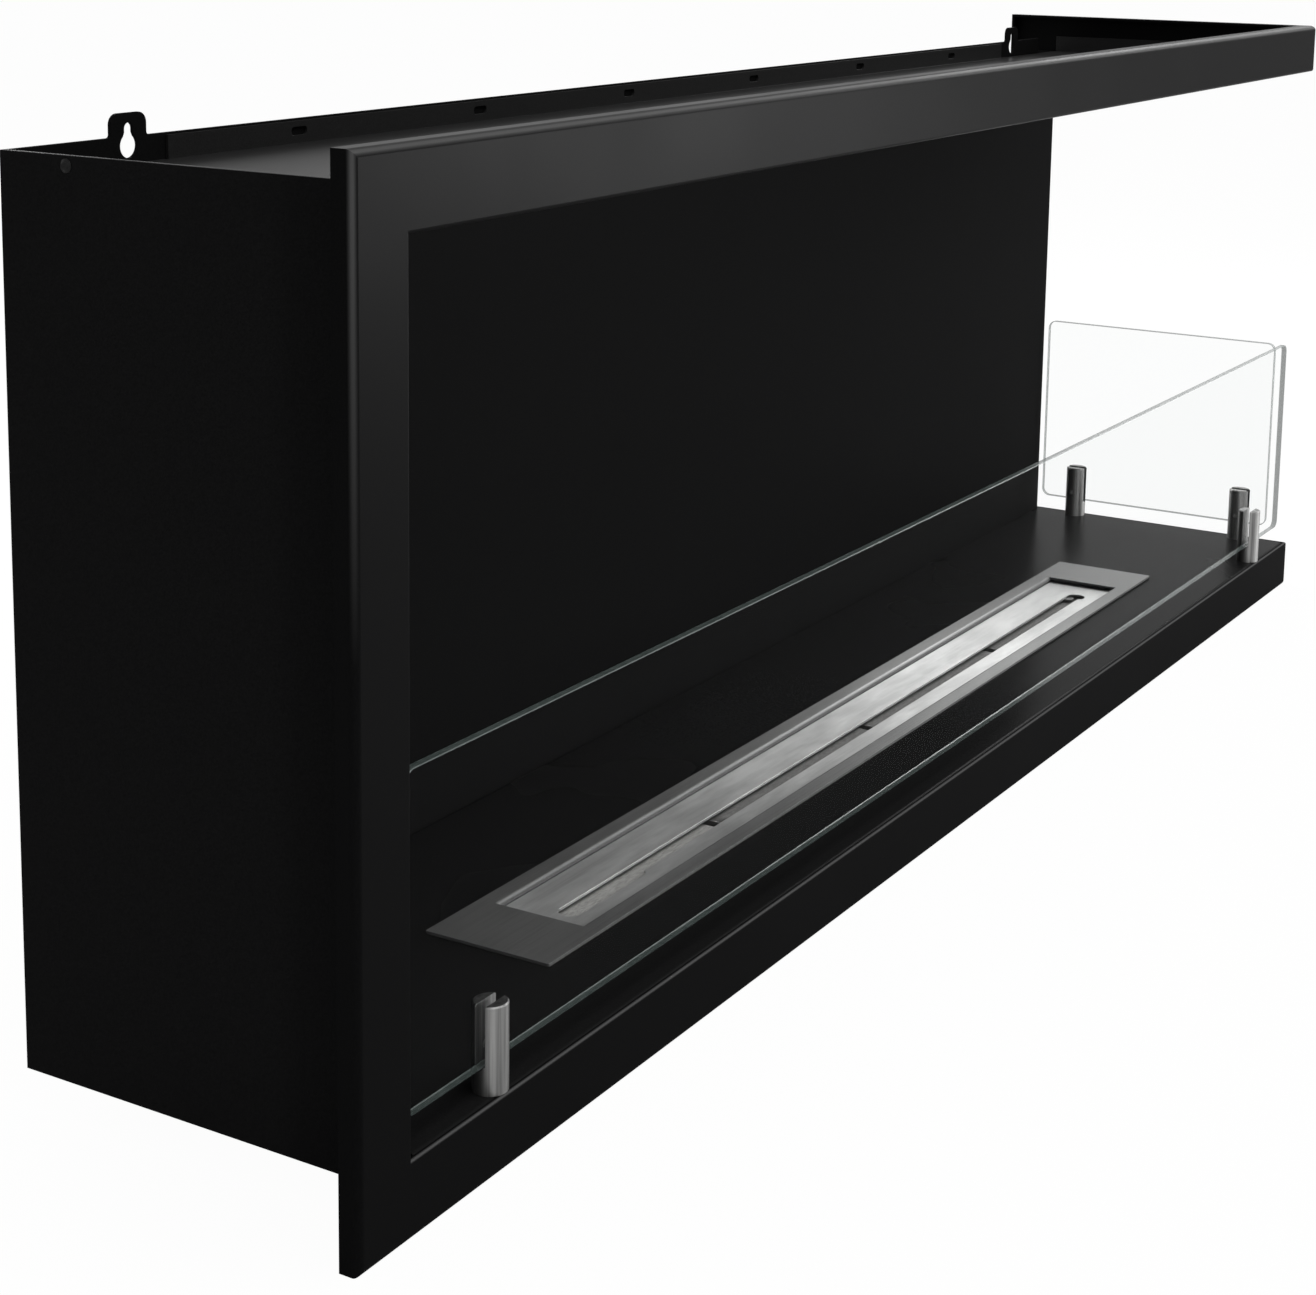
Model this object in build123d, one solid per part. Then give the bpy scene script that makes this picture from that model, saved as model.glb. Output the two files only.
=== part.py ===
from build123d import *
import os

# Built-in bioethanol fireplace for a right-hand corner: closed at the left and the back,
# open at the front and the right. All sizes in millimetres.
#
# The model is drawn from the frame's lower left front corner: x to the right, y into the wall, z up.
# The origin of the finished part is midway between the two keyholes, on the casing's back face.

# --- flange frame ---------------------------------------------------------------------------
frame_width = 1200.0
frame_height = 444.0
flange = 35.0               # visible width of every bar
lip = 10.0                  # return at each bar's outer edge
frame_sheet = 2.0
frame_bend = 3.6            # outside radius of a folded edge
frame_edge = 1.7            # round on the flange's inner edge

# --- casing ---------------------------------------------------------------------------------
casing_depth = 212.0        # frame's face to the casing's back face
casing_bottom = 18.0        # underside of the casing above the frame's lower edge
wall_drop = 16.5            # top of the left wall and of the upstand, below the frame's top
upstand = 12.0              # upstand above the top plate
upstand_end = 41.0          # the upstand stops this far short of the frame's right side
sheet = 1.5
sheet_bend = 2.0            # outside radius of a fold in the casing's sheet
bend_reach = 2.5            # corner relief, from a fold's outer face to the flat sheet
fold = 14.0                 # width of the hidden joining folds
pan_fold = 8.0
floor_fold = 7.0

# --- hanging and fixing ---------------------------------------------------------------------
left_keyhole = 111.0        # from the frame's left edge
right_keyhole = 95.0        # from the frame's right side
keyhole_above_plate = 7.8   # round hole's centre above the top plate
keyhole_radius = 5.5
neck_width = 5.5
neck_top = 10.35            # neck's upper end above the round hole's centre
neck_shoulder = 6.0         # the hole narrows to the neck up to this height
ear_width = 23.0
ear_rise = 10.5             # ear above the upstand
ear_corner = 5.0
ear_root = 1.5
rear_fold_inset = 24.0      # ends of the top plate's rear fold, inside the keyholes
rear_fold_drop = 1.0        # its edge below the upstand's
weld_slot_count = 6         # slots in that fold, for its welds to the upstand
weld_slot_pitch = 152.0
weld_slot_length = 12.0
weld_slot_height = 4.0
rivet_radius = 1.6
rivet_head = 3.0
rivet_dome = 1.3
rivet_tail = 1.6
rivet_from_back = 37.5      # rivet in front of the casing's back face
rivet_gap = 0.05

# --- glass and posts ------------------------------------------------------------------------
glass = 4.0
glass_inset = 8.6           # pane's middle plane behind the frame's outer face
glass_rise = 13.0           # pane's lower edge above the floor
glass_height = 147.0
glass_corner = 6.0
glass_arris = 0.4
glass_left_gap = 3.5        # front pane to the left wall
glass_right_gap = 5.0       # front pane's end to the frame's right side
glass_corner_gap = 4.0      # between the two panes at the corner
glass_back_gap = 6.5        # side pane to the back sheet
post_radius = 8.0
post_height = 40.0
post_slot = 5.0
post_chamfer = 0.6
slot_relief = 1.5           # radius of the drilled end of the slot
front_post_left = 102.0     # from the frame's left edge
front_post_right = 72.0     # from the frame's right side
side_post_front = 37.0      # from the frame's face
side_post_back = 37.0       # from the casing's back face
seat_gap = 0.3              # under each piece that lifts out
screw_radius = 2.5
screw_hole = 2.75
screw_head = 4.6
screw_head_height = 2.8
screw_socket = 1.5          # half the width across flats of the key socket
screw_grip = 7.0            # thread inside the post
thread_gap = 0.05
grub_radius = 2.0
grub_rise = 20.0            # above the floor
grub_recess = 0.7           # grub's outer end inside the post's skin
grub_socket = 1.0
grub_tip_gap = 0.3          # grub's tip to the glass

# --- burner ---------------------------------------------------------------------------------
rim_length = 820.0
rim_width = 72.0
rim_sheet = 1.5
rim_bend = 2.6
rim_reach = 3.0             # a turned-down edge's outer face to the flat rim
rim_right = 164.0           # rim's right end to the frame's right side
rim_front = 54.0            # rim's front edge behind the frame's face
rim_corner = 1.0
rim_end = 46.0              # rim between the opening and each short edge
rim_side = 11.5             # rim between the opening and each long edge
opening_edge = 3.0          # turned-down long edges of the opening, from the rim's top
tank_end = 24.0             # rim beyond the tank at each end
tank_side = 6.0             # rim beyond the tank at each long side
tank_depth = 31.0
tank_sheet = 1.5
tank_corner = 4.0
baffle_sheet = 1.5
baffle_end_gap = 2.0        # to the opening's ends
baffle_side_gap = 0.5       # to the opening's turned-down edges
slot_width = 10.0
slot_left = 12.0            # slot's left end from the opening's end
slot_back = 25.0            # slot's rear edge in front of the opening's rear edge
bay_length = 72.0           # wider left end of the slot, where the fuel is poured in
bay_width = 13.0
bay_corner = 6.0
hook_hole = 6.5             # radius of the slot's round right end
hook_hole_end = 30.0        # its centre from the opening's right end
shutter_sheet = 1.2
shutter_front_gap = 1.2     # open shutter's edge behind the slot
shutter_back_gap = 3.0      # open shutter's edge in front of the opening's rear edge
shutter_travel = 16.0
shutter_gap = 0.3           # shutter to the baffle above it and to the ribs
tongue_width = 8.0          # for the hook, in the slot's round end
tongue_reach = 6.0
tongue_hole = 2.5           # radius of the hole that the hook finds in the closed shutter
rib_count = 3
rib_sheet = 1.5
rib_notch = 8.0             # radius of the fuel passage at each rib's foot
rib_side_gap = 0.1
wool_top_gap = 2.0          # wool below the baffle
wool_side_gap = 0.8
cutout_gap = 2.0            # round the tank, in floor and pan
channel_width = 24.0
channel_inset = 26.0        # channel's ends in from the casing's front and back faces
channel_to_wall = 78.5      # from the casing's inside to a channel
channel_to_tank = 6.0       # least gap to the tank's cut-out

# --- places that follow from the sizes --------------------------------------------------------
frame_depth = casing_depth + flange
floor_top = flange
floor_under = floor_top - sheet
wall_top = frame_height - wall_drop
top_plate_top = wall_top - upstand
wall_left = flange                                   # outer face of the left wall
inside_left = wall_left + sheet
inside_back = casing_depth - sheet
inside_right = frame_width - frame_sheet
pan_top = casing_bottom + sheet
keyhole_places = (left_keyhole, frame_width - right_keyhole)
keyhole_middle = sum(keyhole_places) / 2
keyhole_z = top_plate_top + keyhole_above_plate
weld_slot_z = top_plate_top + upstand / 2
pane_bottom = floor_top + glass_rise
side_plane = frame_width - glass_inset
post_places = {
    "front_left_post": (front_post_left, glass_inset, 0),
    "front_right_post": (frame_width - front_post_right, glass_inset, 0),
    "side_front_post": (side_plane, side_post_front, 90),
    "side_rear_post": (side_plane, casing_depth - side_post_back, 90),
}
rim_left = frame_width - rim_right - rim_length
opening_length = rim_length - 2 * rim_end
opening_width = rim_width - 2 * rim_side
burner_x = rim_left + rim_length / 2
burner_y = rim_front + rim_width / 2
opening_x0 = burner_x - opening_length / 2
opening_x1 = burner_x + opening_length / 2
opening_y0 = burner_y - opening_width / 2
opening_y1 = burner_y + opening_width / 2
rim_under = floor_top + seat_gap
rim_top = rim_under + rim_sheet
baffle_top = rim_top - opening_edge
baffle_under = baffle_top - baffle_sheet
tank_length = rim_length - 2 * tank_end
tank_width = rim_width - 2 * tank_side
tank_bottom = rim_under - tank_depth
tank_floor = tank_bottom + tank_sheet
tank_inner_length = tank_length - 2 * tank_sheet
tank_inner_width = tank_width - 2 * tank_sheet
slot_y1 = opening_y1 - slot_back
slot_y0 = slot_y1 - slot_width
slot_x0 = opening_x0 + slot_left
hook_x = opening_x1 - hook_hole_end
shutter_y0 = slot_y1 + shutter_front_gap
shutter_y1 = opening_y1 - shutter_back_gap
shutter_top = baffle_under - shutter_gap
shutter_under = shutter_top - shutter_sheet
rib_low = shutter_under - shutter_gap
rib_pitch = tank_inner_length / (rib_count + 1)
cutout_half = tank_length / 2 + cutout_gap
channel_left = min(inside_left + channel_to_wall, burner_x - cutout_half - channel_to_tank - channel_width)
channel_right = max(inside_right - channel_to_wall, burner_x + cutout_half + channel_to_tank + channel_width)

to_origin = Location((-keyhole_middle, -casing_depth, -keyhole_z))


def block(x0, y0, z0, x1, y1, z1):
    """A plain rectangular solid between two corners."""
    return Pos((x0 + x1) / 2, (y0 + y1) / 2, (z0 + z1) / 2) * Box(x1 - x0, y1 - y0, z1 - z0)


def rounded_block(x, y, z0, length, width, z1, radius):
    """An upright solid with rounded corners, centred on x and y."""
    return Pos(x, y, z0) * extrude(RectangleRounded(length, width, radius), z1 - z0)


def upright(x, y, z0, z1, radius):
    """A vertical round bar or hole."""
    return Pos(x, y, (z0 + z1) / 2) * Cylinder(radius, z1 - z0)


def half(solid, point, normal):
    """The part of a solid on the side of a plane that the normal points to."""
    return split(solid, bisect_by=Plane(origin=point, z_dir=normal), keep=Keep.TOP)


def folded_angle(corner, inward, run, leg, turned, thick, bend):
    """Sheet bent at a right angle: one leg inward from the corner, the other turned to the run's left."""
    outline = Polyline((0, 0), (leg, 0), (leg, thick), (thick, thick), (thick, turned), (0, turned), close=True)
    radius = min(bend, 0.9 * leg, 0.9 * turned)
    profile = fillet(make_face(outline).vertices().sort_by_distance((0, 0))[0], radius)
    plane = Plane(origin=corner, x_dir=inward, z_dir=Vector(*run).normalized())
    return extrude(plane * profile, Vector(*run).length)


def tray(x0, y0, x1, y1, z, rise, sides):
    """Sheet with the named sides turned up (rise above 0) or down, and small reliefs at its corners."""
    left, right, front, back = (bend_reach * (side in sides) for side in ("left", "right", "front", "back"))
    up = rise > 0
    low = z if up else z - sheet
    solid = block(x0 + left, y0 + front, low, x1 - right, y1 - back, low + sheet)
    long_run = x1 - right - x0 - left
    short_run = y1 - back - y0 - front
    starts = {
        "front": (x0 + left if up else x1 - right, y0, (0, 1, 0), (long_run if up else -long_run, 0, 0)),
        "back": (x1 - right if up else x0 + left, y1, (0, -1, 0), (-long_run if up else long_run, 0, 0)),
        "left": (x0, y1 - back if up else y0 + front, (1, 0, 0), (0, -short_run if up else short_run, 0)),
        "right": (x1, y0 + front if up else y1 - back, (-1, 0, 0), (0, short_run if up else -short_run, 0)),
    }
    for side in sides:
        x, y, inward, run = starts[side]
        solid += folded_angle((x, y, z), inward, run, bend_reach, abs(rise), sheet, sheet_bend)
    return solid


# --- frame: six folded bars, mitred where they meet --------------------------------------------
def bar(corner, inward, run):
    solid = folded_angle(corner, inward, run, flange, lip, frame_sheet, frame_bend)
    inner_edge = Vector(*corner) + flange * Vector(*inward) + Vector(*run) / 2
    return fillet(solid.edges().sort_by_distance(inner_edge)[0], min(frame_edge, 0.9 * frame_sheet))


def left_stile():
    stile = bar((0, 0, 0), (1, 0, 0), (0, 0, frame_height))
    stile = half(stile, (0, 0, 0), (-1, 0, 1))
    return half(stile, (0, 0, frame_height), (-1, 0, -1))


def front_top_rail():
    rail = bar((0, 0, frame_height), (0, 0, -1), (frame_width, 0, 0))
    rail = half(rail, (0, 0, frame_height), (1, 0, 1))
    return half(rail, (frame_width, 0, 0), (-1, -1, 0))


def front_bottom_rail():
    rail = bar((frame_width, 0, 0), (0, 0, 1), (-frame_width, 0, 0))
    rail = half(rail, (0, 0, 0), (1, 0, -1))
    return half(rail, (frame_width, 0, 0), (-1, -1, 0))


def side_top_rail():
    rail = bar((frame_width, 0, frame_height), (0, 0, -1), (0, frame_depth, 0))
    rail = half(rail, (frame_width, 0, 0), (1, 1, 0))
    return half(rail, (frame_width, frame_depth, frame_height), (0, -1, 1))


def side_bottom_rail():
    rail = bar((frame_width, frame_depth, 0), (0, 0, 1), (0, -frame_depth, 0))
    rail = half(rail, (frame_width, 0, 0), (1, 1, 0))
    return half(rail, (frame_width, frame_depth, 0), (0, -1, -1))


def rear_stile():
    stile = bar((frame_width, frame_depth, frame_height), (0, -1, 0), (0, 0, -frame_height))
    stile = half(stile, (frame_width, frame_depth, frame_height), (0, 1, -1))
    return half(stile, (frame_width, frame_depth, 0), (0, 1, 1))


# --- casing ------------------------------------------------------------------------------------
def rivet_hole():
    return Pos(inside_left, casing_depth - rivet_from_back, keyhole_z) * Rot(0, 90, 0) * Cylinder(
        rivet_radius + rivet_gap, 4 * sheet)


def left_wall():
    """Side sheet with an outward fold that lies behind the left stile."""
    height = wall_top - casing_bottom
    front_fold = folded_angle((inside_left, frame_sheet, wall_top), (-1, 0, 0), (0, 0, -height),
                              sheet + fold, bend_reach, sheet, sheet_bend)
    field = block(wall_left, frame_sheet + bend_reach, casing_bottom, inside_left, casing_depth, wall_top)
    return front_fold + field - rivet_hole()


def ear_outline():
    """Ear seen from the front, standing on the upstand's top edge, with its middle at zero."""
    side = ear_width / 2
    top = ear_rise
    with BuildSketch() as ear:
        with BuildLine():
            Polyline((-side - ear_root, -ear_root), (-side - ear_root, 0))
            RadiusArc((-side - ear_root, 0), (-side, ear_root), -ear_root)
            Line((-side, ear_root), (-side, top - ear_corner))
            RadiusArc((-side, top - ear_corner), (-side + ear_corner, top), ear_corner)
            Line((-side + ear_corner, top), (0, top))
            mirror(about=Plane.YZ)
            Line((-side - ear_root, -ear_root), (side + ear_root, -ear_root))
        make_face()
    return ear.sketch


def keyhole_outline():
    """Round hole that narrows to a neck above it, centred on the round hole."""
    neck = neck_width / 2
    shoulder = Polyline((-0.66 * keyhole_radius, 0.75 * keyhole_radius), (-neck, neck_shoulder),
                        (neck, neck_shoulder), (0.66 * keyhole_radius, 0.75 * keyhole_radius), close=True)
    shank = Pos(0, (neck_top - neck) / 2) * Rectangle(neck_width, neck_top - neck)
    return Circle(keyhole_radius) + make_face(shoulder) + shank + Pos(0, neck_top - neck) * Circle(neck)


def standing(outline, x, z):
    """A flat outline turned upright in the back sheet's plane and pulled through the sheet."""
    return extrude(Plane(origin=(x, casing_depth, z), x_dir=(1, 0, 0), z_dir=(0, -1, 0)) * outline, sheet)


def back_wall():
    """Back sheet with the upstand and its two keyhole ears, and a fold behind the rear stile."""
    end = inside_right - bend_reach
    wall = block(inside_left, inside_back, casing_bottom, end, casing_depth, top_plate_top)
    wall += block(inside_left, inside_back, top_plate_top, frame_width - upstand_end, casing_depth, wall_top)
    wall += folded_angle((inside_right, inside_back, top_plate_top), (-1, 0, 0),
                         (0, 0, casing_bottom - top_plate_top), bend_reach, sheet + fold, sheet, sheet_bend)
    for place in keyhole_places:
        wall += standing(ear_outline(), place, wall_top)
        wall -= standing(keyhole_outline(), place, keyhole_z)
    return wall


def weld_slots():
    """Slots in a row through the top plate's rear fold, closed behind by the upstand."""
    first = keyhole_middle - (weld_slot_count - 1) / 2 * weld_slot_pitch
    plane = Plane(origin=(first, inside_back, weld_slot_z), x_dir=(1, 0, 0), z_dir=(0, -1, 0))
    slot = extrude(plane * SlotOverall(weld_slot_length, weld_slot_height), 2 * sheet)
    return [Pos(number * weld_slot_pitch, 0, 0) * slot for number in range(weld_slot_count)]


def top_plate():
    """Roof sheet turned up at the front and both ends, and at the rear between the two keyholes."""
    under = top_plate_top - sheet
    start = keyhole_places[1] - rear_fold_inset
    end = keyhole_places[0] + rear_fold_inset
    plate = tray(inside_left, frame_sheet, inside_right, inside_back, under, wall_top - under,
                 ("front", "left", "right"))
    plate -= block(end - sheet, inside_back - bend_reach, under, start + sheet, inside_back, top_plate_top)
    plate += folded_angle((start, inside_back, under), (0, -1, 0), (end - start, 0, 0),
                          bend_reach, wall_top - rear_fold_drop - under, sheet, sheet_bend)
    return plate - rivet_hole() - weld_slots()


def tank_cutout(z0, z1):
    return rounded_block(burner_x, burner_y, z0, 2 * cutout_half, tank_width + 2 * cutout_gap, z1,
                         tank_corner + cutout_gap)


def floor_plate():
    plate = tray(inside_left, frame_sheet, inside_right, inside_back, floor_top, -floor_fold,
                 ("front", "back", "left", "right"))
    plate -= tank_cutout(floor_under - sheet, floor_top + sheet)
    for x, y, turn in post_places.values():
        plate -= upright(x, y, floor_under - sheet, floor_top + sheet, screw_hole)
    return plate


def bottom_pan():
    pan = tray(inside_left, frame_sheet, inside_right, inside_back, casing_bottom, pan_fold,
               ("front", "back", "left", "right"))
    return pan - tank_cutout(casing_bottom - sheet, pan_top + sheet)


def floor_channel(x):
    """Channel between the pan and the floor, open upwards, with its middle at x."""
    height = floor_under - pan_top
    outer = Rectangle(channel_width, height, align=(Align.CENTER, Align.MIN))
    outer = fillet(outer.vertices().group_by(Axis.Y)[0], sheet_bend)
    inner = Pos(0, sheet) * Rectangle(channel_width - 2 * sheet, height, align=(Align.CENTER, Align.MIN))
    plane = Plane(origin=(x, casing_depth - channel_inset, pan_top), x_dir=(1, 0, 0), z_dir=(0, -1, 0))
    return extrude(plane * (outer - inner), casing_depth - 2 * channel_inset)


def wall_rivet():
    """Dome head outside, shank through the wall and the top plate's fold, upset tail inside."""
    grip = 2 * sheet
    outline = Polyline((0, 0), (rivet_head, 0), (rivet_head, -0.3 * rivet_dome),
                       (0.5 * rivet_head, -rivet_dome), (0, -rivet_dome), close=True)
    head = revolve(Plane.XZ * make_face(outline), Axis.Z)
    shank = Pos(0, 0, grip / 2) * Cylinder(rivet_radius, grip)
    tail = Pos(0, 0, grip + rivet_tail / 2) * Cylinder(1.4 * rivet_radius, rivet_tail)
    tail = chamfer(tail.edges().sort_by(Axis.Z)[-1], 0.3 * rivet_tail)
    return Pos(wall_left, casing_depth - rivet_from_back, keyhole_z) * Rot(0, 90, 0) * (head + shank + tail)


# --- glass and its posts -----------------------------------------------------------------------
def pane(length):
    """Upright pane along x, its lower left corner at the origin, corners rounded and edges broken."""
    outline = Pos(length / 2, glass_height / 2) * RectangleRounded(length, glass_height, glass_corner)
    plane = Plane(origin=(0, glass / 2, 0), x_dir=(1, 0, 0), z_dir=(0, -1, 0))
    solid = extrude(plane * outline, glass)
    rims = solid.faces().sort_by(Axis.Y)[0].edges() + solid.faces().sort_by(Axis.Y)[-1].edges()
    return chamfer(rims, glass_arris)


def front_glass():
    start = inside_left + glass_left_gap
    return Pos(start, glass_inset, pane_bottom) * pane(frame_width - glass_right_gap - start)


def side_glass():
    start = glass_inset + glass / 2 + glass_corner_gap
    return Pos(side_plane, start, pane_bottom) * Rot(0, 0, 90) * pane(inside_back - glass_back_gap - start)


def post():
    """Round post on the origin with its slot along x and its set screw on the +y side."""
    body = Pos(0, 0, post_height / 2) * Cylinder(post_radius, post_height)
    body = chamfer(body.edges().group_by(Axis.Z)[-1], post_chamfer)
    slot_floor = glass_rise - seat_gap
    body -= block(-2 * post_radius, -post_slot / 2, slot_floor,
                  2 * post_radius, post_slot / 2, 2 * post_height)
    body -= Pos(0, 0, slot_floor) * Rot(0, 90, 0) * Cylinder(slot_relief, 4 * post_radius)
    body -= upright(0, 0, -1, screw_grip + 1, screw_radius + thread_gap)
    grub_hole = Cylinder(grub_radius + thread_gap, 2 * post_radius)
    return body - Pos(0, post_radius, grub_rise) * Rot(90, 0, 0) * grub_hole


def post_screw():
    """Cap screw from under the floor into a post, its head against the floor's underside."""
    head = upright(0, 0, -sheet - screw_head_height, -sheet, screw_head)
    socket = extrude(RegularPolygon(screw_socket, 6, major_radius=False), 0.6 * screw_head_height)
    socket = Pos(0, 0, -sheet - screw_head_height) * socket
    return head + upright(0, 0, -sheet, screw_grip, screw_radius) - socket


def set_screw():
    """Grub screw that holds the pane, its tip just clear of the glass."""
    tip = glass / 2 + grub_tip_gap
    tail = post_radius - grub_recess
    grub = Pos(0, (tip + tail) / 2, grub_rise) * Rot(90, 0, 0) * Cylinder(grub_radius, tail - tip)
    grub = chamfer(grub.edges().group_by(Axis.Y)[0], 0.3 * grub_radius)
    socket = extrude(Plane(origin=(0, tail, grub_rise), z_dir=(0, -1, 0)) *
                     RegularPolygon(grub_socket, 6, major_radius=False), 0.4 * (tail - tip))
    return grub - socket


def at_posts(solid):
    """One copy at each post, turned so that its +y side faces the chamber."""
    return [Pos(x, y, floor_top) * Rot(0, 0, turn) * solid for x, y, turn in post_places.values()]


# --- burner ------------------------------------------------------------------------------------
def burner_rim():
    """Flat rim whose opening has its long edges turned down."""
    rim = rounded_block(burner_x, burner_y, rim_under, rim_length, rim_width, rim_top, rim_corner)
    rim -= block(opening_x0, opening_y0 - rim_reach, rim_under, opening_x1, opening_y1 + rim_reach, rim_top)
    rim += folded_angle((opening_x0, opening_y0, rim_top), (0, -1, 0), (opening_length, 0, 0),
                        rim_reach, opening_edge, rim_sheet, rim_bend)
    rim += folded_angle((opening_x1, opening_y1, rim_top), (0, 1, 0), (-opening_length, 0, 0),
                        rim_reach, opening_edge, rim_sheet, rim_bend)
    return rim


def burner_tank():
    tank = rounded_block(burner_x, burner_y, tank_bottom, tank_length, tank_width, rim_under, tank_corner)
    return tank - rounded_block(burner_x, burner_y, tank_floor, tank_inner_length, tank_inner_width,
                                rim_under, tank_corner - tank_sheet)


def tank_ribs():
    """Cross ribs in the tank: the shutter slides on them, and the baffle rests on their raised ends."""
    reach = tank_inner_width / 2 - rib_side_gap
    front_end = shutter_y0 - shutter_travel - shutter_gap
    rear_end = shutter_y1 + shutter_gap
    ribs = []
    for number in range(rib_count):
        x = burner_x + (number - (rib_count - 1) / 2) * rib_pitch
        rib = block(x - rib_sheet / 2, burner_y - reach, tank_floor, x + rib_sheet / 2, burner_y + reach,
                    rib_low)
        rib += block(x - rib_sheet / 2, burner_y - reach, rib_low, x + rib_sheet / 2, front_end, baffle_under)
        rib += block(x - rib_sheet / 2, rear_end, rib_low, x + rib_sheet / 2, burner_y + reach, baffle_under)
        ribs.append(rib - Pos(x, burner_y, tank_floor) * Rot(0, 90, 0) * Cylinder(rib_notch, 2 * rib_sheet))
    return ribs


def ceramic_wool():
    """A wool block in each bay of the tank, between the ribs."""
    length = rib_pitch - rib_sheet - 2 * wool_side_gap
    width = tank_inner_width - 2 * wool_side_gap
    blocks = []
    for number in range(rib_count + 1):
        x = burner_x + (number - rib_count / 2) * rib_pitch
        blocks.append(rounded_block(x, burner_y, tank_floor, length, width, baffle_under - wool_top_gap,
                                    tank_corner - tank_sheet))
    return blocks


def burner_baffle():
    """Inner plate with the burning slot: a wide pouring bay at the left, a round hook hole at the right."""
    baffle = block(opening_x0 + baffle_end_gap, opening_y0 + baffle_side_gap, baffle_under,
                   opening_x1 - baffle_end_gap, opening_y1 - baffle_side_gap, baffle_top)
    under = baffle_under - baffle_sheet
    over = baffle_top + baffle_sheet
    baffle -= block(slot_x0 + bay_corner, slot_y0, under, hook_x, slot_y1, over)
    baffle -= rounded_block(slot_x0 + bay_length / 2, slot_y1 - bay_width / 2, under,
                            bay_length, bay_width, over, bay_corner)
    return baffle - upright(hook_x, slot_y1 - hook_hole, under, over, hook_hole)


def burner_shutter():
    """Sliding lid, open: behind the slot, under the baffle, with a tongue and a hole for the hook."""
    lid = block(opening_x0 + baffle_end_gap, shutter_y0, shutter_under,
                opening_x1 - baffle_end_gap, shutter_y1, shutter_top)
    tongue_y = shutter_y0 - tongue_reach + tongue_width / 2
    lid += block(hook_x - tongue_width / 2, tongue_y, shutter_under,
                 hook_x + tongue_width / 2, shutter_y0, shutter_top)
    lid += upright(hook_x, tongue_y, shutter_under, shutter_top, tongue_width / 2)
    hole_y = slot_y1 - hook_hole + shutter_travel
    return lid - upright(hook_x, hole_y, shutter_under - 1, shutter_top + 1, tongue_hole)


# --- all pieces --------------------------------------------------------------------------------
pieces = {
    "left_stile": left_stile(),
    "front_top_rail": front_top_rail(),
    "front_bottom_rail": front_bottom_rail(),
    "side_top_rail": side_top_rail(),
    "side_bottom_rail": side_bottom_rail(),
    "rear_stile": rear_stile(),
    "left_wall": left_wall(),
    "back_wall": back_wall(),
    "top_plate": top_plate(),
    "floor_plate": floor_plate(),
    "bottom_pan": bottom_pan(),
    "floor_channel_left": floor_channel(channel_left + channel_width / 2),
    "floor_channel_right": floor_channel(channel_right - channel_width / 2),
    "wall_rivet": wall_rivet(),
    "front_glass": front_glass(),
    "side_glass": side_glass(),
    "post_screws": Compound(children=at_posts(post_screw())),
    "set_screws": Compound(children=at_posts(set_screw())),
    "burner_rim": burner_rim(),
    "burner_tank": burner_tank(),
    "tank_ribs": Compound(children=tank_ribs()),
    "ceramic_wool": Compound(children=ceramic_wool()),
    "burner_baffle": burner_baffle(),
    "burner_shutter": burner_shutter(),
}
pieces.update(zip(post_places, at_posts(post())))

os.makedirs("parts", exist_ok=True)
for name, piece in pieces.items():
    export_step(to_origin * piece, f"parts/{name}.step")
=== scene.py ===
import math

import bpy
from mathutils import Matrix, Vector


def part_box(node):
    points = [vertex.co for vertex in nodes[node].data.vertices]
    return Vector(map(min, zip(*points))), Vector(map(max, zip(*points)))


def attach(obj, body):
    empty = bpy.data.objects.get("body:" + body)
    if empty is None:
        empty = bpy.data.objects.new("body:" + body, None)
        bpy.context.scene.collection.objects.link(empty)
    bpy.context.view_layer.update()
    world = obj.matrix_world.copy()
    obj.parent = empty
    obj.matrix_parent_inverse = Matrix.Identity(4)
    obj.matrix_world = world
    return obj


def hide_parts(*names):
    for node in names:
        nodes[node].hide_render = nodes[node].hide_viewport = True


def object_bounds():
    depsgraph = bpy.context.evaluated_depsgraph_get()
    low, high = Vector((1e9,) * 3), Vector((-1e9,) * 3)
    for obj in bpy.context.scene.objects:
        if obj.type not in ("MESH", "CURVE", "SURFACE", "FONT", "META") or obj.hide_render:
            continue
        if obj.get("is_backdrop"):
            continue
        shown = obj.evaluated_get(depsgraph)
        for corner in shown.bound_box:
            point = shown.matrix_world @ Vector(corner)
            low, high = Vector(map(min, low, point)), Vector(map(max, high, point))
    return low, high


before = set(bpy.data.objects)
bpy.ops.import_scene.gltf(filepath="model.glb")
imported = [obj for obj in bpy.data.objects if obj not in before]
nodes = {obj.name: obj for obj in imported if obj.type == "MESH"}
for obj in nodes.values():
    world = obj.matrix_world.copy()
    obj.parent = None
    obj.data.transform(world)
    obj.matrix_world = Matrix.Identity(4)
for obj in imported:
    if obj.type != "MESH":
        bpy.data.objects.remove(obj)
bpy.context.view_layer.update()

print("frame loaded,", len(nodes), "nodes")


def newMaterial(name):
    material = bpy.data.materials.new(name)
    material.use_nodes = True
    tree = material.node_tree
    tree.nodes.clear()
    output = tree.nodes.new("ShaderNodeOutputMaterial")
    return material, tree, output


def addNode(tree, kind, settings=None, **inputs):
    node = tree.nodes.new(kind)
    for key, value in (settings or {}).items():
        setattr(node, key, value)
    for key, value in inputs.items():
        node.inputs[key.replace("_", " ")].default_value = value
    return node


def join(tree, source, target):
    tree.links.new(source, target)


def stretchedCoordinates(tree, stretch):
    # object coordinates in metres, stretched along one axis where a finish has a grain
    place = addNode(tree, "ShaderNodeTexCoord")
    mapping = addNode(tree, "ShaderNodeMapping", Scale=stretch)
    join(tree, place.outputs["Object"], mapping.inputs["Vector"])
    return mapping.outputs["Vector"]


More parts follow.
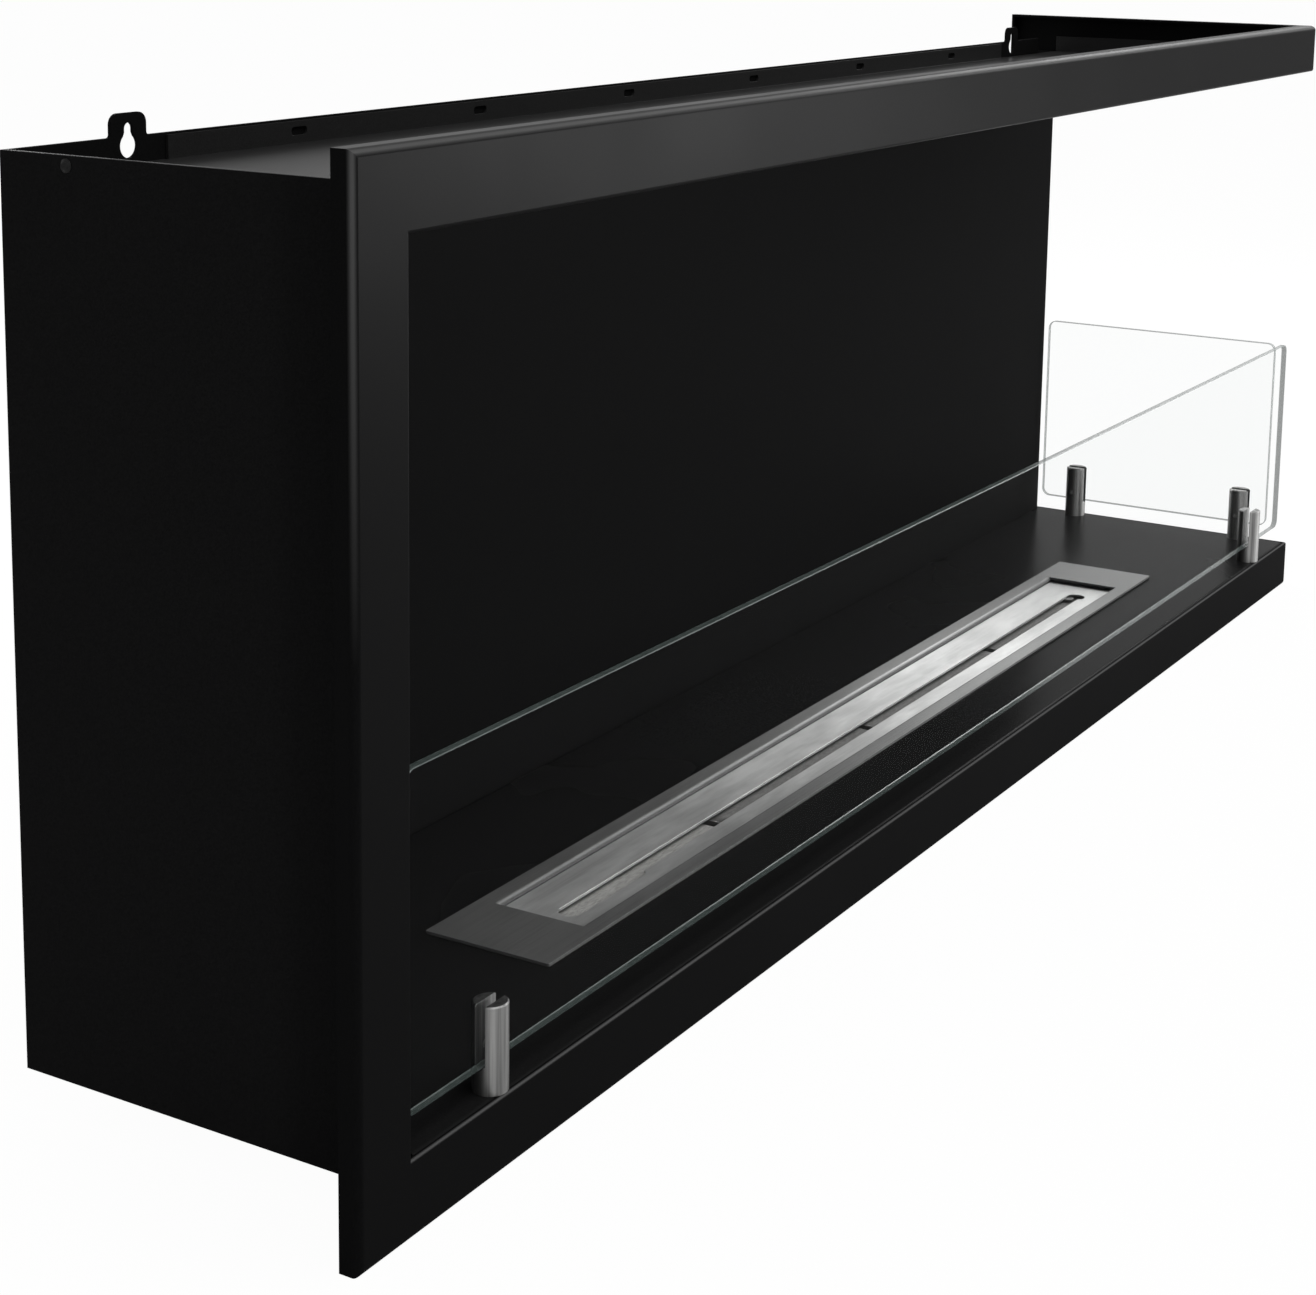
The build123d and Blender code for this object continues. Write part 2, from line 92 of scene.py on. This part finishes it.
def plainCoordinates(tree):
    return stretchedCoordinates(tree, (1, 1, 1))


def axesOf(tree, vector):
    parts = addNode(tree, "ShaderNodeSeparateXYZ")
    join(tree, vector, parts.inputs["Vector"])
    return parts.outputs


def facings(tree):
    # how far a surface faces along each axis of the object, from -1 to 1
    place = addNode(tree, "ShaderNodeTexCoord")
    return axesOf(tree, place.outputs["Normal"])


def worked(tree, operation, *values):
    # a sum in the material: plain numbers are set, the outputs of other nodes joined
    step = addNode(tree, "ShaderNodeMath", {"operation": operation})
    for socket, value in zip(step.inputs, values):
        if isinstance(value, float):
            socket.default_value = value
        else:
            join(tree, value, socket)
    return step.outputs["Value"]


def noise(tree, vector, scale, detail=2.0, roughness=0.5):
    pattern = addNode(tree, "ShaderNodeTexNoise", Scale=scale, Detail=detail, Roughness=roughness)
    join(tree, vector, pattern.inputs["Vector"])
    return pattern.outputs["Fac"]


noiseRange = (0.3, 0.7)   # nearly all values of a noise lie between these


def spread(tree, value, low, high, fromLow=noiseRange[0], fromHigh=noiseRange[1]):
    # a value turned into a range of roughness, height or share
    ranged = addNode(tree, "ShaderNodeMapRange")
    for socket, number in zip(("From Min", "From Max", "To Min", "To Max"), (fromLow, fromHigh, low, high)):
        ranged.inputs[socket].default_value = number
    join(tree, value, ranged.inputs["Value"])
    return ranged.outputs["Result"]


def shades(tree, value, dark, light, low=noiseRange[0], high=noiseRange[1]):
    ramp = addNode(tree, "ShaderNodeValToRGB")
    ramp.color_ramp.elements[0].position = low
    ramp.color_ramp.elements[0].color = (*dark, 1)
    ramp.color_ramp.elements[1].position = high
    ramp.color_ramp.elements[1].color = (*light, 1)
    join(tree, value, ramp.inputs["Fac"])
    return ramp.outputs["Color"]


colourSockets = {"under": 6, "over": 7, "result": 2}   # of a mix node, beside its number and vector ones


def blended(tree, share, colour, other):
    # another plain colour laid over part of the surface
    mixed = addNode(tree, "ShaderNodeMix", {"data_type": "RGBA"})
    join(tree, share, mixed.inputs["Factor"])
    join(tree, colour, mixed.inputs[colourSockets["under"]])
    mixed.inputs[colourSockets["over"]].default_value = (*other, 1)
    return mixed.outputs[colourSockets["result"]]


def bump(tree, height, distance, strength, under=None):
    raised = addNode(tree, "ShaderNodeBump", Distance=distance, Strength=strength)
    join(tree, height, raised.inputs["Height"])
    if under is not None:
        join(tree, under, raised.inputs["Normal"])
    return raised.outputs["Normal"]


def seenBy(tree, rays):
    # 1 for the kinds of ray named: those that look at the background rather than light the object
    path = addNode(tree, "ShaderNodeLightPath")
    seen = path.outputs[rays[0]]
    for ray in rays[1:]:
        seen = worked(tree, "MAXIMUM", seen, path.outputs[ray])
    return seen


def mixedShaders(tree, share, first, second):
    mix = addNode(tree, "ShaderNodeMixShader")
    for socket, source in zip(mix.inputs, (share, first, second)):
        join(tree, source, socket)
    return mix.outputs["Shader"]


def softEdges(tree, radius):
    # sheet edges are never knife sharp: a small round catches the light along them
    edge = addNode(tree, "ShaderNodeBevel", {"samples": 4}, Radius=radius)
    return edge.outputs["Normal"]


def paint(names, material):
    for name in names:
        mesh = nodes[name].data
        mesh.materials.clear()
        mesh.materials.append(material)


def deselectAll():
    bpy.ops.object.select_all(action="DESELECT")


# powder coat on the frame and the casing

def bendHighlightMask(tree, coat):
    # where the painted highlight goes: 0 on flat faces and undersides, 1 in the middle of a rounded bend or
    # edge
    facing = facings(tree)
    largest = worked(tree, "ABSOLUTE", facing["X"])
    for axis in "YZ":
        largest = worked(tree, "MAXIMUM", largest, worked(tree, "ABSOLUTE", facing[axis]))
    bend = spread(tree, largest, 1.0, 0.0, *coat["bendTurn"])
    notUnder = spread(tree, facing["Z"], 0.0, 1.0, *coat["undersideTurn"])
    return worked(tree, "MULTIPLY", bend, notUnder)


def highlightFadedDown(tree, where, share, fades):
    # the painted highlight on an upright's bend dies away towards its foot
    left = spread(tree, axesOf(tree, where)["Z"], 0.0, 1.0, *fades)
    return worked(tree, "MULTIPLY", share, left)


def dullerLowDown(tree, where, gloss, coat):
    # the sprayed coat lies thinner and rougher towards the frame's foot
    height = axesOf(tree, where)["Z"]
    extra = spread(tree, height, coat["dullBelow"], 0.0, coat["dullFrom"], coat["dullUpTo"])
    return worked(tree, "ADD", gloss, extra)


def powderCoat(name, coat):
    material, tree, output = newMaterial(name)
    where = plainCoordinates(tree)
    speckle = noise(tree, where, coat["grain"], detail=3.0, roughness=0.6)
    cloud = noise(tree, where, coat["cloud"])
    shader = addNode(tree, "ShaderNodeBsdfPrincipled")
    shader.inputs["Specular IOR Level"].default_value = coat["gloss"]
    colour = shades(tree, speckle, coat["dark"], coat["light"])
    if coat["paintedBendHighlight"]:
        # painted highlight: the bends are laid over with a lighter colour, standing in for the light they
        # catch
        bend = bendHighlightMask(tree, coat)
        if coat["highlightFades"]:
            bend = highlightFadedDown(tree, where, bend, coat["highlightFades"])
        colour = blended(tree, bend, colour, coat["paintedBendHighlight"])
    join(tree, colour, shader.inputs["Base Color"])
    gloss = spread(tree, cloud, coat["smoothest"], coat["roughest"])
    if coat["dullBelow"]:
        gloss = dullerLowDown(tree, where, gloss, coat)
    join(tree, gloss, shader.inputs["Roughness"])
    edges = softEdges(tree, coat["edge"]) if coat["edge"] else None
    dimples = noise(tree, where, coat["peel"], detail=1.0)
    peel = bump(tree, dimples, coat["peelHeight"], coat["peelStrength"], edges)
    fine = bump(tree, speckle, coat["grainHeight"], coat["grainStrength"], peel)
    join(tree, fine, shader.inputs["Normal"])
    join(tree, shader.outputs["BSDF"], output.inputs["Surface"])
    return material


frameCoat = {
    "dark": (0.0022, 0.0022, 0.0023),
    "light": (0.0044, 0.0044, 0.0045),
    "gloss": 0.012,
    "smoothest": 0.30,
    "roughest": 0.35,
    "grain": 1500.0,         # specks of the powder, per metre
    "cloud": 9.0,
    "peel": 320.0,           # orange peel, per metre
    "peelHeight": 0.00005,
    "peelStrength": 0.10,
    "grainHeight": 0.00002,
    "grainStrength": 0.12,
    "edge": 0.0,             # the frame's welded mitres are dressed flush and don't show
    "dullBelow": 0.40,       # roughness added at the foot
    "dullFrom": -0.40,
    "dullUpTo": -0.02,
    # painted highlight: the lighter colour laid on the bends
    "paintedBendHighlight": (0.060, 0.060, 0.060),
    "bendTurn": (0.80, 0.985),       # how far a surface has turned: fully on the bend, still flat
    "undersideTurn": (-0.25, -0.02),
    "highlightFades": None,       # heights between which the painted bend highlight comes up
}
# the stile's painted bend highlight is weaker and fades towards its foot
stileCoat = dict(frameCoat, paintedBendHighlight=(0.052, 0.052, 0.052), highlightFades=(-0.175, 0.005))
casingCoat = dict(frameCoat, dark=(0.0050, 0.0050, 0.0051), light=(0.0085, 0.0085, 0.0086), gloss=0.001,
                  edge=0.0005, dullBelow=0.0, paintedBendHighlight=None)
# painted light: the roof and its upstand take a lighter copy of the casing coat, standing in for the light
# that falls on them
paintedLightRoofCoat = dict(casingCoat, dark=(0.012, 0.012, 0.012), light=(0.020, 0.020, 0.020), gloss=0.012)
floorCoat = dict(casingCoat, dark=(0.0085, 0.0085, 0.0086), light=(0.0135, 0.0135, 0.0136), gloss=0.012,
                 smoothest=0.24, roughest=0.28, peelStrength=0.0, grainStrength=0.0)
rivetCoat = dict(casingCoat, dark=(0.008, 0.008, 0.008), light=(0.014, 0.014, 0.014), gloss=0.06,
                 edge=0.0003)

paint(["front_top_rail", "front_bottom_rail", "side_top_rail", "side_bottom_rail", "rear_stile"],
      powderCoat("satinBlackFrame", frameCoat))
paint(["left_stile"], powderCoat("satinBlackStile", stileCoat))
paint(["left_wall", "back_wall", "bottom_pan", "floor_channel_left", "floor_channel_right"],
      powderCoat("satinBlackCasing", casingCoat))
paint(["top_plate"], powderCoat("satinBlackRoof", paintedLightRoofCoat))
paint(["floor_plate"], powderCoat("glossBlackFloor", floorCoat))
paint(["wall_rivet"], powderCoat("coatedRivet", rivetCoat))
print("coats done")


# steels

def offTheFace(tree, steel):
    # 0 on a flat face that looks up, 1 on the edges and bends turned away from it
    return spread(tree, facings(tree)["Z"], 1.0, 0.0, *steel["turn"])


def rightEndShadeMask(tree, where, steel):
    # painted shade: the plates' colour is darkened towards their right end
    return spread(tree, axesOf(tree, where)["X"], 0.0, steel["rightEndShadeShare"], *steel["rightEndShadeAlong"])


def brushedSteel(name, steel):
    material, tree, output = newMaterial(name)
    where = plainCoordinates(tree)
    streaks = noise(tree, stretchedCoordinates(tree, steel["grainStretch"]), scale=1.0, roughness=0.6)
    clouds = noise(tree, where, steel["cloud"])
    shader = addNode(tree, "ShaderNodeBsdfPrincipled", Metallic=1.0, Anisotropic=steel["anisotropy"])
    colour = shades(tree, streaks, steel["dark"], steel["light"])
    if steel["patchShare"]:
        # wiped and handled sheet is lighter in patches
        stretched = stretchedCoordinates(tree, steel["patchStretch"])
        patches = noise(tree, stretched, scale=1.0, detail=3.0, roughness=0.6)
        lighter = spread(tree, patches, 0.0, steel["patchShare"], *steel["patchTurn"])
        colour = blended(tree, lighter, colour, steel["patchShade"])
    mixed = worked(tree, "MULTIPLY_ADD", streaks, steel["streakShare"], clouds)
    mixedRange = [number * (1 + steel["streakShare"]) for number in noiseRange]
    roughness = spread(tree, mixed, steel["smoothest"], steel["roughest"], *mixedRange)
    if steel["rightEndShadeShare"]:
        # painted shade towards the plates' right end
        colour = blended(tree, rightEndShadeMask(tree, where, steel), colour, steel["rightEndShade"])
    if steel["turnedPaintedShade"]:
        # painted shade: edges and bends turned away from the top are darkened in colour, damping their
        # bright reflections
        turned = offTheFace(tree, steel)
        colour = blended(tree, turned, colour, steel["turnedPaintedShade"])
        roughness = worked(tree, "MULTIPLY_ADD", turned, steel["turnedRoughness"], roughness)
    join(tree, colour, shader.inputs["Base Color"])
    join(tree, roughness, shader.inputs["Roughness"])
    if steel["anisotropy"]:
        along = addNode(tree, "ShaderNodeCombineXYZ")
        for axis, amount in zip("XYZ", steel["along"]):
            along.inputs[axis].default_value = amount
        join(tree, along.outputs["Vector"], shader.inputs["Tangent"])
    edges = softEdges(tree, steel["edge"])
    join(tree, bump(tree, streaks, steel["height"], steel["strength"], edges), shader.inputs["Normal"])
    join(tree, shader.outputs["BSDF"], output.inputs["Surface"])
    return material


burnerSteel = {
    "dark": (0.45, 0.45, 0.45),
    "light": (0.57, 0.57, 0.565),
    "grainStretch": (9.0, 2400.0, 2400.0),   # brushed lengthwise
    "cloud": 25.0,
    "streakShare": 1.0,
    "smoothest": 0.42,
    "roughest": 0.50,
    "anisotropy": 0.7,
    "along": (0.0, 1.0, 0.0),                # the gloss is drawn out across the brushing
    "height": 0.00002,
    "strength": 0.12,
    "edge": 0.0003,
    "turnedPaintedShade": None,
    "turnedRoughness": 0.35,
    "turn": (0.45, 0.97),
    "patchShade": (0.82, 0.82, 0.81),
    "patchShare": 0.55,
    "patchStretch": (14.0, 55.0, 55.0),
    "patchTurn": (0.42, 0.66),
    # painted shade: how dark the plates are made towards their right end, and from where
    "rightEndShade": (0.10, 0.10, 0.10),
    "rightEndShadeShare": 0.60,
    "rightEndShadeAlong": (0.18, 0.37),              # from here to the right end
}
# the rim carries painted shade on its turned edges and towards its right end
rimSteel = dict(burnerSteel, dark=(0.165, 0.165, 0.165), light=(0.235, 0.235, 0.232),
                turnedPaintedShade=(0.11, 0.11, 0.11), rightEndShade=(0.05, 0.05, 0.05), rightEndShadeShare=0.80,
                patchShade=(0.36, 0.36, 0.355), patchShare=0.15)
tankSteel = dict(burnerSteel, dark=(0.16, 0.16, 0.158), light=(0.25, 0.25, 0.247), anisotropy=0.0,
                 smoothest=0.38, roughest=0.52, rightEndShadeShare=0.0, patchShare=0.0)
postSteel = dict(burnerSteel, dark=(0.10, 0.10, 0.099), light=(0.26, 0.26, 0.256), anisotropy=0.0,
                 smoothest=0.40, roughest=0.48, grainStretch=(420.0, 420.0, 12.0), strength=0.04,
                 edge=0.0002, rightEndShadeShare=0.0, patchShare=0.0)
screwSteel = dict(postSteel, dark=(0.26, 0.26, 0.255), light=(0.36, 0.355, 0.35))

paint(["burner_rim"], brushedSteel("brushedRimSteel", rimSteel))
paint(["burner_baffle"], brushedSteel("brushedBurnerSteel", burnerSteel))
# painted shade: the shutter, lying under the baffle, takes the darker tank steel so that it reads dark in
# the hook hole
paint(["burner_tank", "tank_ribs", "burner_shutter"], brushedSteel("dullTankSteel", tankSteel))
paint(["front_left_post", "front_right_post", "side_front_post", "side_rear_post"],
      brushedSteel("turnedPostSteel", postSteel))
paint(["post_screws", "set_screws"], brushedSteel("plainScrewSteel", screwSteel))
print("steels done")


# glass

def clearGlass(name, pane):
    # clear over its faces, with a pale green ground edge all round
    material, tree, output = newMaterial(name)
    where = plainCoordinates(tree)
    smear = noise(tree, where, pane["smear"])
    mirror = addNode(tree, "ShaderNodeBsdfPrincipled", Base_Color=(0, 0, 0, 1), IOR=pane["index"])
    join(tree, spread(tree, smear, pane["smoothest"], pane["roughest"]), mirror.inputs["Roughness"])
    through = addNode(tree, "ShaderNodeBsdfTransparent", Color=(*pane["tint"], 1))
    # only what is looked at mirrors, so that no sparks of lamplight fall on the floor behind
    share = worked(tree, "MULTIPLY", seenBy(tree, ["Is Camera Ray"]), pane["mirrorShare"])
    face = mixedShaders(tree, share, through.outputs["BSDF"], mirror.outputs["BSDF"])

    ground = addNode(tree, "ShaderNodeBsdfPrincipled", Roughness=pane["edgeRoughness"])
    ground.inputs["Alpha"].default_value = pane["edgeSolid"]
    grit = noise(tree, where, pane["edgeGrain"])
    join(tree, shades(tree, grit, pane["edgeDark"], pane["edgeLight"]), ground.inputs["Base Color"])
    acrossPane = worked(tree, "ABSOLUTE", facings(tree)[pane["across"]])
    isEdge = worked(tree, "LESS_THAN", acrossPane, pane["faceFrom"])
    join(tree, mixedShaders(tree, isEdge, face, ground.outputs["BSDF"]), output.inputs["Surface"])
    return material


frontPane = {
    "tint": (0.996, 0.999, 0.998),
    "index": 1.5,
    "mirrorShare": 0.015,    # the faces look clear but for a faint gloss at a grazing look
    "smear": 6.0,
    "smoothest": 0.01,
    "roughest": 0.04,
    "across": "Y",           # the axis through the pane
    "faceFrom": 0.9,         # what is turned further than this is edge
    "edgeDark": (0.069, 0.088, 0.083),
    "edgeLight": (0.115, 0.141, 0.134),
    "edgeGrain": 300.0,
    "edgeRoughness": 0.25,
    "edgeSolid": 0.72,
}
sidePane = dict(frontPane, across="X")

paint(["front_glass"], clearGlass("clearGlassFront", frontPane))
paint(["side_glass"], clearGlass("clearGlassSide", sidePane))
print("glass done")


# ceramic wool in the tank

woolPacking = {
    "bays": 4,
    "gapAtRib": 0.0031,
    "soften": 0.0015,
    "softenSteps": 2,
    "cuts": 22,
    "lump": 0.0008,
    "lumpSize": 0.018,
    "fibre": 0.0003,
    "fibreSize": 0.0035,
    "light": (0.44, 0.435, 0.42),
    "dark": (0.27, 0.265, 0.255),
    "shadedBaysLight": (0.20, 0.198, 0.193),   # painted shade: a darker copy for all but the bay where the fuel is poured in
    "sootedDark": (0.11, 0.108, 0.105),
    "weave": (220.0, 900.0, 900.0),   # fibres lie mostly along the burner
    "darkBelow": 0.35,
    "lightAbove": 0.60,
    "roughness": 0.95,
    "sheen": 0.2,
    "fuzzHeight": 0.0006,
    "fuzzStrength": 0.8,
}


def woolMaterial(name, wool, dark, light):
    material, tree, output = newMaterial(name)
    fibres = noise(tree, stretchedCoordinates(tree, wool["weave"]), scale=1.0, detail=4.0, roughness=0.65)
    shader = addNode(tree, "ShaderNodeBsdfPrincipled", Roughness=wool["roughness"])
    shader.inputs["Sheen Weight"].default_value = wool["sheen"]
    colour = shades(tree, fibres, dark, light, wool["darkBelow"], wool["lightAbove"])
    join(tree, colour, shader.inputs["Base Color"])
    join(tree, bump(tree, fibres, wool["fuzzHeight"], wool["fuzzStrength"]), shader.inputs["Normal"])
    join(tree, shader.outputs["BSDF"], output.inputs["Surface"])
    return material


def lumps(name, size):
    texture = bpy.data.textures.new(name, "CLOUDS")
    texture.noise_scale = size
    texture.noise_depth = 2
    return texture


def woolBlock(number, low, high, wool):
    deselectAll()
    step = (high.x - low.x + wool["gapAtRib"]) / wool["bays"]
    margin = wool["lump"] + wool["fibre"]
    size = Vector((step - wool["gapAtRib"], high.y - low.y, high.z - low.z)) - 2 * Vector((margin,) * 3)
    centre = (low + high) / 2
    centre.x = low.x + step * (number + 0.5) - wool["gapAtRib"] / 2
    bpy.ops.mesh.primitive_cube_add(size=1, location=centre)
    block = bpy.context.object
    block.name = f"wool_packing_{number + 1}"
    block.scale = size
    bpy.ops.object.transform_apply(location=True, rotation=True, scale=True)
    bpy.ops.object.mode_set(mode="EDIT")
    bpy.ops.mesh.select_all(action="SELECT")
    bpy.ops.mesh.bevel(offset=wool["soften"], segments=wool["softenSteps"], affect="EDGES")
    bpy.ops.mesh.select_all(action="SELECT")
    bpy.ops.mesh.subdivide(number_cuts=wool["cuts"], smoothness=0)
    bpy.ops.object.mode_set(mode="OBJECT")
    for label in ("lump", "fibre"):
        push = block.modifiers.new(label, "DISPLACE")
        push.texture = lumps(f"{label}{number}", wool[f"{label}Size"])
        push.texture_coords = "GLOBAL"
        push.strength = wool[label]
        push.mid_level = 0.5
        bpy.ops.object.modifier_apply(modifier=label)
    bpy.ops.object.shade_smooth()
    return block


woolLow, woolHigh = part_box("ceramic_wool")
firstBayWool = woolMaterial("ceramicWool", woolPacking, woolPacking["dark"], woolPacking["light"])
paintedShadeWool = woolMaterial("paintedShadeWool", woolPacking, woolPacking["sootedDark"], woolPacking["shadedBaysLight"])
for bay in range(woolPacking["bays"]):
    block = woolBlock(bay, woolLow, woolHigh, woolPacking)
    # painted shade: every bay but the first takes the darker copy of the wool
    block.data.materials.append(paintedShadeWool if bay else firstBayWool)
    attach(block, "burner")
    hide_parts("ceramic_wool")
print("wool done")


# floor, background and light

studio = {
    "floorSize": 90.0,
    "floorGlow": 0.97,       # share of plain white in what the camera and the glass see of the floor
    "floorGlowGloss": 0.15,  # the same for gloss, which shows more of the shadow
    "floorGrey": 0.88,
    "ambient": 0.45,
}
lamps = {
    "keyFront": {"at": (1.75, -1.98, -0.15), "aim": (-0.5, -0.2, -0.05), "size": (1.2, 0.5), "power": 38.0},
    "edgeFront": {"at": (2.3, -1.1, 0.6), "aim": (0.0, -0.2, -0.4), "size": (0.8, 0.5), "power": 9.0},
    "edgeLeft": {"at": (-2.2, -2.6, -0.27), "aim": (-0.6, -0.2, -0.05), "size": (0.35, 0.28), "power": 16.0},
    "softTop": {"at": (-0.2, -1.3, 1.9), "aim": (0.0, -0.1, -0.2), "size": (1.6, 1.2), "power": 22.0},
    "fillLeft": {"at": (-2.4, -1.6, 1.2), "aim": (0.0, 0.0, -0.2), "size": (1.4, 1.4), "power": 8.0},
    "softBack": {"at": (1.0, 2.6, 0.7), "aim": (0.0, 0.0, -0.2), "size": (1.4, 1.4), "power": 70.0},
    "rimRight": {"at": (2.15, -0.15, 0.85), "aim": (0.1, -0.12, -0.35), "size": (0.8, 0.5), "power": 12.0},
}


def paleFloor():
    deselectAll()
    low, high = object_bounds()
    middle = (low + high) / 2
    bpy.ops.mesh.primitive_plane_add(size=studio["floorSize"], location=(middle.x, middle.y, low.z))
    floor = bpy.context.object
    floor.name = "studioFloor"
    material, tree, output = newMaterial("paleFloor")
    matte = addNode(tree, "ShaderNodeBsdfDiffuse", Color=(studio["floorGrey"],) * 3 + (1,))
    white = addNode(tree, "ShaderNodeEmission", Color=(1, 1, 1, 1), Strength=1.0)
    inGloss = spread(tree, seenBy(tree, ["Is Glossy Ray"]), 0.0, studio["floorGlowGloss"], 0.0, 1.0)
    looked = seenBy(tree, ["Is Camera Ray", "Is Transmission Ray"])
    share = worked(tree, "MULTIPLY_ADD", looked, studio["floorGlow"], inGloss)
    glowing = mixedShaders(tree, share, matte.outputs["BSDF"], white.outputs["Emission"])
    join(tree, glowing, output.inputs["Surface"])
    floor.data.materials.append(material)
    floor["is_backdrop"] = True


def whiteWorld():
    world = bpy.data.worlds.new("studioWorld")
    bpy.context.scene.world = world
    world.use_nodes = True
    tree = world.node_tree
    tree.nodes.clear()
    output = addNode(tree, "ShaderNodeOutputWorld")
    background = addNode(tree, "ShaderNodeBackground", Color=(1, 1, 1, 1))
    seen = seenBy(tree, ["Is Camera Ray", "Is Glossy Ray", "Is Transmission Ray"])
    join(tree, spread(tree, seen, studio["ambient"], 1.0, 0.0, 1.0), background.inputs["Strength"])
    join(tree, background.outputs["Background"], output.inputs["Surface"])


def softBox(name, lamp):
    data = bpy.data.lights.new(name, "AREA")
    data.shape = "RECTANGLE"
    data.size, data.size_y = lamp["size"]
    data.energy = lamp["power"]
    box = bpy.data.objects.new(name, data)
    bpy.context.scene.collection.objects.link(box)
    box.location = lamp["at"]
    box.rotation_euler = (Vector(lamp["aim"]) - Vector(lamp["at"])).to_track_quat("-Z", "Y").to_euler()


paleFloor()
whiteWorld()
for name, lamp in lamps.items():
    softBox(name, lamp)
print("studio done")


# camera at the photograph's view

photoView = {
    "place": (-1.32213, -0.76708, 0.11301),
    "yaw": 1.0336,           # radians from the wall's normal towards the open end
    "pitch": -0.1685,
    "roll": 0.0143,
    "lens": 68.178,
    "sensor": 36.0,
    "shiftY": -0.25,
}


def photoCamera(shot):
    data = bpy.data.cameras.new("photoCamera")
    data.lens = shot["lens"]
    data.sensor_width = shot["sensor"]
    data.sensor_fit = "HORIZONTAL"
    data.shift_y = shot["shiftY"]
    camera = bpy.data.objects.new("photoCamera", data)
    bpy.context.scene.collection.objects.link(camera)
    ahead = Vector((math.sin(shot["yaw"]) * math.cos(shot["pitch"]),
                    math.cos(shot["yaw"]) * math.cos(shot["pitch"]),
                    math.sin(shot["pitch"])))
    level = Vector((math.cos(shot["yaw"]), -math.sin(shot["yaw"]), 0))
    up = level.cross(ahead)
    right = level * math.cos(shot["roll"]) + up * math.sin(shot["roll"])
    above = up * math.cos(shot["roll"]) - level * math.sin(shot["roll"])
    turn = Matrix((right, above, -ahead)).transposed()
    camera.rotation_euler = turn.to_euler()
    camera.location = shot["place"]
    bpy.context.scene.camera = camera


photoCamera(photoView)
bpy.context.scene.view_settings.view_transform = "Standard"

print("scene done")
